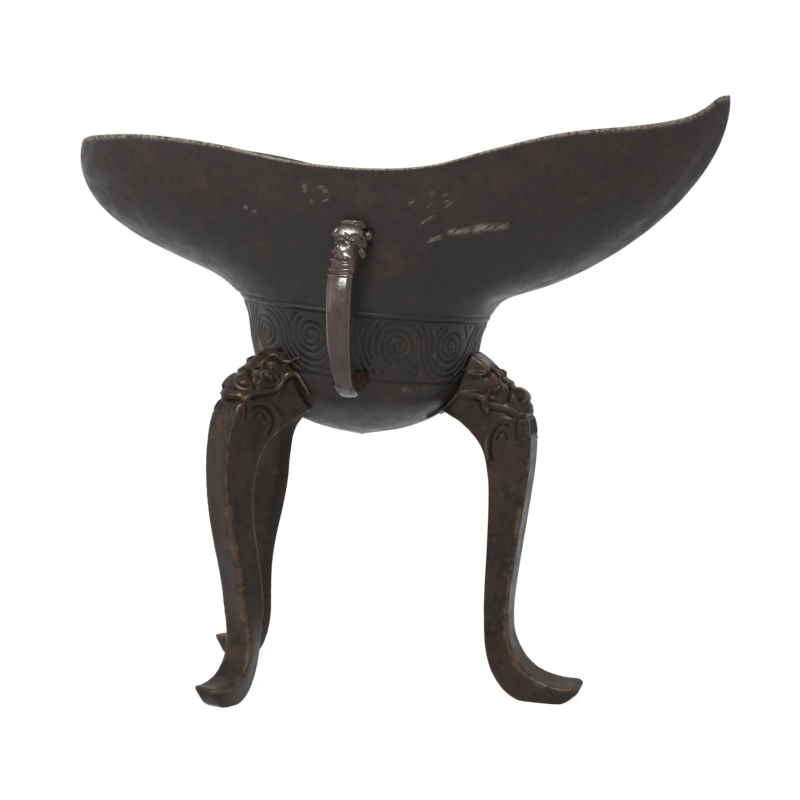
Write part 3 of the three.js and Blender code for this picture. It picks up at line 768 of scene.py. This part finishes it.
def band_relief(points):
    """How far the scroll band moves each point of the outer face along its normal."""
    angle = np.arctan2(points[:, 1], points[:, 0])
    level = points[:, 2] + BAND_SLANT * points[:, 0]
    unit = 2 * np.pi / BAND_UNITS
    across = ((angle - BAND_START + unit / 2) % unit - unit / 2) * BAND_RADIUS
    up = level - BAND_FOOT
    period = unit * BAND_RADIUS
    line = band_lines()
    line = np.concatenate([line + (shift, 0, 0) for shift in (-period, 0, period)])
    inside = np.flatnonzero((up > 0.2) & (level < BAND_TOP))
    groove = np.zeros(len(points))
    spots = np.stack([across, up, np.zeros(len(points))], -1)[inside]
    fade = smoothstep(up[inside], 0.3, 1.1) * smoothstep(BAND_TOP - level[inside], 0.1, 0.6)
    groove[inside] = hump(gaps_to(line, spots), GROOVE_HALF_WIDTH) * fade
    for height in (BAND_TOP, BORDER_TOP, BAND_FOOT):
        groove = np.maximum(groove, hump(np.abs(level - height), GROOVE_HALF_WIDTH))
    return -GROOVE_DEPTH * groove


def unevenness(points):
    """The slight waviness of cast and scraped bronze, in shares of its height."""
    x, y, z = points.T
    return (np.sin(x / 5.3 + 1.1 * np.sin(z / 7.1)) * np.sin(y / 6.1 + 0.7) * np.sin(z / 4.7 + 2.1)
            + 0.5 * np.sin(x / 2.3 + 0.6 * z / 3.1) * np.sin(y / 2.9 + z / 2.7 + 1.3))


# Vessel

def painted(points, spots):
    """How strongly each point lies within one of the spots, by its direction and height."""
    reach = np.linalg.norm(points[:, :2], axis=1)
    direction = np.degrees(np.arctan2(points[:, 1], points[:, 0]))
    level = points[:, 2] + BAND_SLANT * points[:, 0]
    share = np.zeros(len(points))
    for degrees, height, radius in spots:
        across = np.radians((direction - degrees + 180) % 360 - 180) * reach
        share = np.maximum(share, hump(np.hypot(across, level - height), radius))
    return share


def vessel_shell():
    """The vessel's skin from its bottom over the rim to its floor, and each point's level and inset."""
    low, high = BAND_LEVELS
    rows = [(level, 0, COARSE_AROUND) for level in np.linspace(LOWEST_LEVEL, low, CUP_ROWS)[:-1]]
    rows += [(level, 0, FINE_AROUND) for level in np.linspace(low, high, BAND_ROWS)]
    rows += [(level, 0, COARSE_AROUND) for level in np.linspace(high, 2, BOWL_ROWS)[1:-1]]
    outer_rows = len(rows)
    rows += [(2, inset, COARSE_AROUND) for inset in RIM_INSETS]
    rows += [(level, 1, COARSE_AROUND) for level in np.linspace(2, 1, INNER_BOWL_ROWS)[1:]]
    rows += [(level, 1, COARSE_AROUND) for level in np.linspace(1, LOWEST_LEVEL, INNER_CUP_ROWS)[1:]]
    points, normals, faces, start, before = [], [], [], 0, None
    for number, (level, inset, count) in enumerate(rows):
        angle = ring_angles(count)
        ring = wall_points(angle, level, inset)
        if level == 2:
            ring[:, 2] -= RIM_ROUNDING * (1 - math.sqrt(max(0, 1 - (2 * inset - 1) ** RIM_SQUARENESS)))
        if number < outer_rows:
            normals.append(wall_normals(angle, np.full(count, level)))
        points.append(ring)
        if before is not None:
            faces += strip(before[0], before[1], start, count)
        before = (start, count)
        start += count
    outer = np.concatenate(points[:outer_rows])
    levels = np.concatenate([np.full(count, level) for level, inset, count in rows] + [[0, 0]])
    insets = np.concatenate([np.full(count, inset) for level, inset, count in rows] + [[0, 1]])
    calm = smoothstep(RIM_FADE_LEVEL - levels[:len(outer)], 0, RIM_FADE)
    relief = band_relief(outer) + UNEVENNESS * (unevenness(outer) - UNEVENNESS_TOP) * calm
    outer = outer + np.concatenate(normals) * relief[:, None]
    points = [outer] + points[outer_rows:]
    bottom, floor = wall_points(0, 0.0, 0), wall_points(0, 0.0, 1)
    points = np.concatenate([*points, [bottom], [floor]])
    faces += [(start, (i + 1) % COARSE_AROUND, i) for i in range(COARSE_AROUND)]
    last = before[0]
    faces += [(start + 1, last + i, last + (i + 1) % COARSE_AROUND) for i in range(COARSE_AROUND)]
    return points, faces, levels, insets


def vessel_grown(offset):
    """The vessel filled and grown by an offset, carried up past its rim: the tool that seats a limb."""
    angle = ring_angles(TOOL_AROUND)
    levels = [*np.linspace(2 * LOWEST_LEVEL, 1, TOOL_ROWS), *np.linspace(1, 2, TOOL_ROWS)[1:]]
    rings = [wall_points(angle, level) + offset * wall_normals(angle, np.full(TOOL_AROUND, level))
             for level in levels]
    return loft([*rings, rings[-1] + (0, 0, TOOL_ABOVE)])


# Legs

def near_ankle(z):
    return smoothstep(ANKLE_HEIGHT + ANKLE_BLEND - z, 0, ANKLE_BLEND)


def leg_section(row):
    out_r, out_z, in_r, in_z, out_half, in_half = row
    half_ring = []
    for depth, side in LEG_SECTION:
        half = in_half + (out_half - in_half) * side if depth > 0 and side < 1 else out_half * side
        half_ring.append((out_r + (in_r - out_r) * depth, half, out_z + (in_z - out_z) * depth))
    ring = np.array(half_ring + [(r, -half, z) for r, half, z in half_ring[:0:-1]])
    closed = np.concatenate([ring[-1:], ring, ring[:2]])
    return along_rows(closed, 1 + np.arange(len(ring) * SECTION_STEPS) / SECTION_STEPS)


def trimmed(points, trim):
    x, y, z = points.T
    rise = np.clip((z - BOW_LOW) / (BOW_HIGH - BOW_LOW), 0, 1)
    x = x + trim["bow"] * np.sin(np.pi * rise) ** 2 + trim["ankle"] * near_ankle(z)
    bend = smoothstep(ANKLE_HEIGHT - z, 0, FOOT_BEND_HEIGHT)
    reach = (x - ANKLE_RADIUS) * (1 + (trim["foot_reach"] - 1) * bend)
    angle = np.radians(trim["foot_turn"] * bend)
    z = z + trim["foot_tilt"] * y * bend
    return np.stack([ANKLE_RADIUS + reach * np.cos(angle) - y * np.sin(angle),
                     reach * np.sin(angle) + y * np.cos(angle), z], -1)


def mirrored(forms):
    return [form for r, side, *rest in forms for form in ((r, side, *rest), (r, -side, *rest))]


def leg_rings(trim):
    wall = wall_reach(LEG_ROOT_HEIGHT, trim["turn"])
    root = [(out_r, LEG_ROOT_HEIGHT + out_up, wall - bite, LEG_ROOT_HEIGHT + in_up, *halves)
            for out_r, out_up, bite, in_up, *halves in LEG_ROOT_STATIONS]
    stations = root + LEG_SHIN_STATIONS
    rings = []
    for row in along_all(stations, LEG_RINGS):
        row[0] += trim["heft"] * near_ankle(row[1]) * smoothstep(row[1], HEEL_HEIGHT, ANKLE_HEIGHT)
        rings.append(trimmed(leg_section(row), trim))
    return rings


def rubbed_edges(rings):
    """The two outer edges of the shin and foot, where the patina is rubbed through."""
    corner = RUBBED_CORNER * SECTION_STEPS
    line = np.array([ring[place] for ring in rings for place in (corner, -corner)])
    return line[line[:, 2] < RUBBED_HEIGHT]


def near_line(points, line, radius):
    """1 on the line, falling to 0 at the radius."""
    share = np.zeros(len(points))
    near = np.flatnonzero(points[:, 2] < line[:, 2].max() + radius)
    share[near] = hump(gaps_to(line, points[near]), radius)
    return share


def mask_shells(trim):
    height = LEG_ROOT_HEIGHT + trim["lift"]
    forms = MASK_MIDDLE_FORMS + mirrored(MASK_SIDE_FORMS)
    shells = [ball((form[0], form[1], height + form[2]), form[3:]) for form in forms]
    for hand in (1, -1):
        flip = np.array([1, hand, 1])
        for name, (radius, points) in MASK_RODS.items():
            drop = (0, 0, trim["ear_drop"] if name == "ear" else 0)
            line = [kept_off_wall(mask_place(point, trim) * flip - drop, trim) for point in points]
            shells.append(rod(line, radius))
        nostril = mask_place(NOSTRIL, trim) * flip
        shells.append(torus(nostril, NOSTRIL_AXIS * flip, NOSTRIL_RING, NOSTRIL_ROD))
        shells.append(ball(nostril, (NOSTRIL_BALL,) * 3))
    return shells


def mask_place(point, trim):
    """A point of the mask, whose back is shallower and whose lower half is longer on some legs."""
    r, side, up = point
    if r < MASK_FRONT:
        r = MASK_FRONT + (r - MASK_FRONT) * trim["mask_depth"]
    up *= trim["stretch"] if up < 0 else 1
    return np.array([r, side, LEG_ROOT_HEIGHT + trim["lift"] + up])


def kept_off_wall(point, trim):
    """A point of a leg, moved out where it would sink into the wall, and onto the wall beside the leg."""
    x, y, z = turned(point[None], trim["turn"], trim["outset"])[0]
    reach = math.hypot(x, y)
    push = (wall_reach(z, math.degrees(math.atan2(y, x))) + RELIEF_CLEARANCE - reach) / reach
    if abs(point[1]) < BESIDE_LEG:
        push = max(0.0, push)
    back = turned(np.array([[x, y, 0]]), -trim["turn"], 0)[0]
    return point + back * push


def carve_mask(relief, trim):
    for hand in (1, -1):
        flip = np.array([1, hand, 1])
        for half_width, depth, points in MASK_STROKES.values():
            line = smooth_line([mask_place(point, trim) for point in points])
            relief.mark(relief.laid(line * flip), half_width, depth)


# Handle

def rotation(degrees, axis, size=3):
    return Matrix.Rotation(math.radians(degrees), size, axis)


def handle_shells(head_wall):
    foot_end = wall_reach(HANDLE_FOOT_HEIGHT, HANDLE_TURN) - HANDLE_FOOT_BITE
    line = [(head_wall + out, HANDLE_HEAD_HEIGHT + up) for out, up in HANDLE_UPPER_LINE]
    line += [(r, HANDLE_FOOT_HEIGHT + up) for r, up in [*HANDLE_LOWER_LINE, (foot_end, 0)]]
    centres = along_all(line, HANDLE_RINGS)
    tangents = unit(np.gradient(centres, axis=0))
    corners = np.array(HANDLE_SECTION + HANDLE_SECTION[:1])
    place = np.linspace(0, len(HANDLE_SECTION), HANDLE_AROUND, endpoint=False)
    across, depth = (np.interp(place, range(len(corners)), column) for column in corners.T)
    rings = []
    for share, centre, tangent in zip(np.linspace(0, 1, len(centres)), centres, tangents):
        half = (HANDLE_TOP_WIDTH + (HANDLE_BOTTOM_WIDTH - HANDLE_TOP_WIDTH) * share) / 2
        out = np.array([-tangent[1], tangent[0]]) * depth[:, None] * HANDLE_THICKNESS / 2
        rings.append(np.stack([centre[0] + out[:, 0], across * half, centre[1] + out[:, 1]], -1))
    shells = [loft(rings)]
    forms = [(*form, 0, 0) for form in HEAD_MIDDLE_FORMS + mirrored(HEAD_SIDE_FORMS)] + HEAD_PLATES
    for out, side, up, *radii, lean, turn in forms:
        points, faces = ball((0, 0, 0), radii)
        facing = rotation(turn, "Z") @ rotation(-lean, "Y")
        middle = (head_wall + out, side, HANDLE_HEAD_HEIGHT + up)
        shells.append((points @ np.array(facing).T + middle, faces))
    return shells


def carve_head(relief, head_wall):
    def lay(points, hand=1):
        sides, ups = np.atleast_2d(points).T
        in_front = np.full(len(sides), head_wall + HEAD_FRONT)
        return relief.shone(np.stack([in_front, sides * hand, HANDLE_HEAD_HEIGHT + ups], -1), (-1, 0, 0))

    for half_width, depth, points in HEAD_STROKES.values():
        relief.mark(lay(smooth_line(points)), half_width, depth)
    for hand in (1, -1):
        for half_width, depth, points in HEAD_PAIRS.values():
            relief.mark(lay(smooth_line(points), hand), half_width, depth)
    for pit in TOOTH_PITS:
        relief.mark(lay(pit), *TOOTH_PIT_SIZE)


# Seating limbs on the vessel

def turned(points, degrees, shift_x):
    angle = math.radians(degrees)
    x, y, z = points.T
    return np.stack([x * math.cos(angle) - y * math.sin(angle) + shift_x,
                     x * math.sin(angle) + y * math.cos(angle), z], -1)


def carved(shells, rounds, carve, facts):
    """One smoothed skin round the shells, with the relief that a function lays on it."""
    points, triangles = melted(shells)
    mean = neighbour_means(triangles, len(points))
    relief = Relief(relaxed(points, mean, rounds), triangles)
    carve(relief, facts)
    return relaxed(relief.applied(), mean, 1, FINISH_STRENGTH), triangles


def add_limb(name, seams, points, triangles, slot, rubbed=None):
    """The carved limb cut off before the wall, and the braze between it and the wall."""
    body, body_faces = cut(points, triangles, vessel_grown(LIMB_START), "DIFFERENCE")
    mean = neighbour_means(body_faces, len(body))
    layers = {"wear": ridge_measure(body, body_faces, mean, 2)}
    body[:, 2] = np.maximum(0, body[:, 2])
    if rubbed is not None:
        layers["gold"] = near_line(body, rubbed, RUBBED_WIDTH)
    add_piece(f"{name}_cast", body, body_faces, slot, name, **layers)
    slim = points - skin_normals(points, triangles) * SEAM_SHRINK
    bead = cut(slim, triangles, vessel_grown(SEAM_TOP), "INTERSECT")
    bead = cut(*bead, vessel_grown(SEAM_FOOT), "DIFFERENCE")
    for seam, (points, faces) in zip(seams, largest_parts(*bead, len(seams))):
        add_piece(f"{seam}_seam", points, faces, "braze", seam)


def largest_parts(points, triangles, number):
    """The parts with the most triangles, the highest first."""
    label = np.arange(len(points))
    while True:
        lowest = label[triangles].min(1)
        new = label.copy()
        for k in range(3):
            np.minimum.at(new, triangles[:, k], lowest)
        new = new[new]
        if np.array_equal(new, label):
            break
        label = new
    names, sizes = np.unique(label[triangles[:, 0]], return_counts=True)
    parts = []
    for chosen in names[np.argsort(-sizes)[:number]]:
        faces = triangles[label[triangles[:, 0]] == chosen]
        used, index = np.unique(faces, return_inverse=True)
        parts.append((points[used], index.reshape(-1, 3)))
    return sorted(parts, key=lambda part: -part[0][:, 2].mean())


# Materials

class Nodes:
    """Short ways to add the shader nodes of a material or world."""

    def __init__(self, owner):
        owner.use_nodes = True
        self.tree = owner.node_tree
        self.tree.nodes.clear()

    def add(self, kind, sockets=(), **values):
        """A node with its values, and with a number, a colour or another node's output in its sockets."""
        node = self.tree.nodes.new(kind)
        for name, value in values.items():
            setattr(node, name, value)
        for name, value in dict(sockets).items():
            if isinstance(value, bpy.types.NodeSocket):
                self.tree.links.new(value, node.inputs[name])
            else:
                node.inputs[name].default_value = (*value, 1) if isinstance(value, tuple) else value
        return node

    def noise(self, place, scale, detail, roughness):
        return self.add("ShaderNodeTexNoise", {
            "Vector": place, "Scale": scale, "Detail": detail, "Roughness": roughness}).outputs["Fac"]

    def ranged(self, value, low, high, to_low=0.0, to_high=1.0):
        return self.add("ShaderNodeMapRange", {
            "Value": value, "From Min": low, "From Max": high, "To Min": to_low, "To Max": to_high,
        }, interpolation_type="SMOOTHSTEP").outputs["Result"]

    def maths(self, operation, first, second):
        return self.add("ShaderNodeMath", {0: first, 1: second}, operation=operation).outputs[0]

    def sum(self, first, second):
        return self.maths("ADD", first, second)

    def product(self, first, second):
        return self.maths("MULTIPLY", first, second)

    def larger(self, first, second):
        return self.maths("MAXIMUM", first, second)

    def mix(self, share, first, second):
        sockets = {"Factor": share, 6: first, 7: second}
        return self.add("ShaderNodeMix", sockets, data_type="RGBA").outputs[2]

    def attribute(self, name):
        return self.add("ShaderNodeAttribute", attribute_name=name).outputs["Fac"]


def tint(colour, times):
    return tuple(times * part for part in colour)


def bronze(name, dark, brown, red, brown_share, roughness, gloss, wear_low, wear_high):
    """Patinated bronze: dark with brown and reddish clouds, lighter where worn, dull in hollows."""
    material = bpy.data.materials.new(name)
    nodes = Nodes(material)
    place = nodes.add("ShaderNodeTexCoord").outputs["Object"]
    noise = {kind: nodes.noise(place, *numbers) for kind, numbers in NOISES.items()}
    share = {kind: nodes.ranged(noise[source], *numbers)
             for kind, (source, *numbers) in NOISE_SHARES.items()}
    wear, gold, fleck, stain = (nodes.attribute(layer) for layer in ("wear", "gold", "fleck", "brown"))

    patch = nodes.product(stain, share["patch"])
    cloud = nodes.ranged(noise["clouds"], *(edge - brown_share * CLOUD_SHIFT for edge in CLOUD_RANGE))
    reddish = nodes.larger(nodes.product(share["red_blotch"], share["red_cloud"]),
                           nodes.product(patch, share["red_grain"]))
    hollow = nodes.ranged(wear, *HOLLOW_RANGE)
    speckle = nodes.sum(wear, nodes.product(share["ragged"], wear_low * RAGGED_WEAR))
    worn = nodes.product(nodes.ranged(speckle, wear_low, wear_high), share["worn"])
    gold = nodes.sum(gold, nodes.product(share["ragged"], RAGGED_GOLD))
    worn = nodes.larger(worn, nodes.product(nodes.ranged(gold, *GOLD_RANGE), share["gold"]))
    # Pale flecks, and the rim's pale line, which is painted partly as wear and partly as a highlight
    fleck = nodes.product(nodes.ranged(fleck, *FLECK_AND_RIM_HIGHLIGHT_RANGE), share["fleck"])

    colour = dark
    for part, over in (
        (nodes.larger(cloud, patch), brown), (reddish, red),
        (share["light_specks"], tint(brown, LIGHT_SPECK)),
        (share["dark_specks"], tint(dark, DARK_SPECK)), (hollow, tint(dark, HOLLOW_DARK)),
        (worn, WORN_COLOUR), (fleck, FLECK_AND_RIM_HIGHLIGHT_COLOUR),
    ):
        colour = nodes.mix(part, colour, over)
    spread = (roughness + change for change in ROUGHNESS_SPREAD)
    rough = nodes.ranged(noise["polish"], *POLISH_RANGE, *spread)
    for kind, part in {"fleck": fleck, "hollow": hollow, "patch": patch, "worn": worn}.items():
        rough = nodes.sum(rough, nodes.product(part, ROUGHER[kind]))
    pits = nodes.sum(noise["pits"], nodes.product(noise["fine_pits"], FINE_PIT_SHARE))
    bump = nodes.add("ShaderNodeBump", {"Strength": BUMP_STRENGTH, "Distance": BUMP_DEPTH, "Height": pits})
    shader = nodes.add("ShaderNodeBsdfPrincipled", {
        "Base Color": colour, "Metallic": nodes.product(worn, WORN_METAL), "Roughness": rough,
        "Specular IOR Level": gloss, "Normal": bump.outputs["Normal"]})
    nodes.add("ShaderNodeOutputMaterial", {"Surface": shader.outputs[0]})
    return material


# Camera, floor and lights

def add_camera():
    turn = math.radians(CAMERA_TURN)
    right = Vector((math.cos(turn), math.sin(turn), 0))
    ahead = Vector((-math.sin(turn), math.cos(turn), 0))
    place = Vector((AXIS[0], AXIS[1], CAMERA_HEIGHT)) - ahead * CAMERA_DISTANCE + right * CAMERA_ASIDE
    data = bpy.data.cameras.new("camera")
    data.sensor_fit = "HORIZONTAL"
    data.sensor_width = SENSOR_WIDTH
    data.lens = LENS
    camera = placed("camera", data)
    look = rotation(CAMERA_TURN, "Z", 4) @ rotation(90 - CAMERA_PITCH, "X", 4)
    camera.matrix_world = Matrix.Translation(place * MM) @ look @ rotation(CAMERA_ROLL, "Z", 4)
    bpy.context.scene.camera = camera


def white_when_seen(nodes, output, plain, glow, seen_share):
    """Shows the plain shader, with a white glow mixed in for what the camera and reflections see."""
    path = nodes.add("ShaderNodeLightPath")
    seen = nodes.larger(path.outputs["Is Camera Ray"], path.outputs["Is Glossy Ray"])
    seen = nodes.larger(seen, path.outputs["Is Transmission Ray"])
    mix = nodes.add("ShaderNodeMixShader", {
        "Fac": nodes.product(seen, seen_share), 1: plain.outputs[0], 2: glow.outputs[0]})
    nodes.add(output, {"Surface": mix.outputs[0]})


def add_floor():
    bpy.ops.mesh.primitive_plane_add(size=FLOOR_SIZE)
    floor = bpy.context.object
    floor.name = "floor"
    material = bpy.data.materials.new("floor")
    nodes = Nodes(material)
    diffuse = nodes.add("ShaderNodeBsdfDiffuse", {"Color": FLOOR_COLOUR})
    glow = nodes.add("ShaderNodeEmission", {"Strength": FLOOR_GLOW})
    white_when_seen(nodes, "ShaderNodeOutputMaterial", diffuse, glow, FLOOR_GLOW_SHARE)
    floor.data.materials.append(material)


def add_world():
    world = bpy.data.worlds.new("world")
    bpy.context.scene.world = world
    nodes = Nodes(world)
    plain, white = (nodes.add("ShaderNodeBackground", {"Color": (1, 1, 1), "Strength": light})
                    for light in (WORLD_LIGHT, 1))
    white_when_seen(nodes, "ShaderNodeOutputWorld", plain, white, 1)


def add_lamp(name, size, power, place):
    data = bpy.data.lights.new(name, "AREA")
    data.shape = "RECTANGLE"
    data.size, data.size_y = size
    data.energy = power
    lamp = placed(name, data)
    lamp.location = place
    lamp.rotation_euler = (Vector(LAMP_TARGET) - Vector(place)).to_track_quat("-Z", "Y").to_euler()


# The pieces

def add_vessel():
    points, faces, levels, insets = vessel_shell()
    triangles = np.array(faces)
    wear = ridge_measure(points, triangles, neighbour_means(triangles, len(points)), 1)
    outside = insets == 0
    # A pale line along the rim's edge and top, painted partly as wear and partly as the highlight that the
    # rim catches, with less of it on the inner face
    inner = 1 - RIM_INNER_LOSS * smoothstep(insets, *RIM_INNER_INSETS)
    rim = RIM_WEAR_AND_HIGHLIGHT * smoothstep(levels, *RIM_WEAR_AND_HIGHLIGHT_LEVELS) * inner
    under_rim = RIM_BROWN * smoothstep(levels, *RIM_BROWN_LEVELS)
    add_piece("vessel_cast", points, faces, "dark_bronze", "vessel_body", wear=wear,
              gold=painted(points, WORN_SPOTS) * outside,
              fleck=np.maximum(FLECK_SHARE * painted(points, FLECKS) * outside, rim),
              brown=np.maximum(painted(points, BROWN_PATCHES), under_rim))


def add_leg(name, trim):
    rings = leg_rings(trim)
    points, triangles = carved([loft(rings)] + mask_shells(trim), LEG_ROUNDS, carve_mask, trim)
    points, edges = (turned(some, trim["turn"], trim["outset"]) for some in (points, rubbed_edges(rings)))
    add_limb(name, [f"braze_{name}"], points, triangles, "leg_bronze", edges)


def add_handle():
    head_wall = wall_reach(HANDLE_HEAD_HEIGHT, HANDLE_TURN)
    points, triangles = carved(handle_shells(head_wall), HANDLE_ROUNDS, carve_head, head_wall)
    points[:, 1] -= HANDLE_LEAN * (points[:, 2] - HANDLE_FOOT_HEIGHT)
    points = turned(points, HANDLE_TURN, HANDLE_OUTSET)
    add_limb("handle", ["braze_handle_top", "braze_handle_bottom"], points, triangles, "handle_bronze")


bpy.context.scene.view_settings.view_transform = "Standard"
add_camera()
add_floor()
add_world()
for name, facts in LAMPS.items():
    add_lamp(name, *facts)
bronzes = {name: bronze(name, **facts) for name, facts in BRONZES.items()}
add_vessel()
for name, trim in LEGS.items():
    add_leg(name, trim)
add_handle()
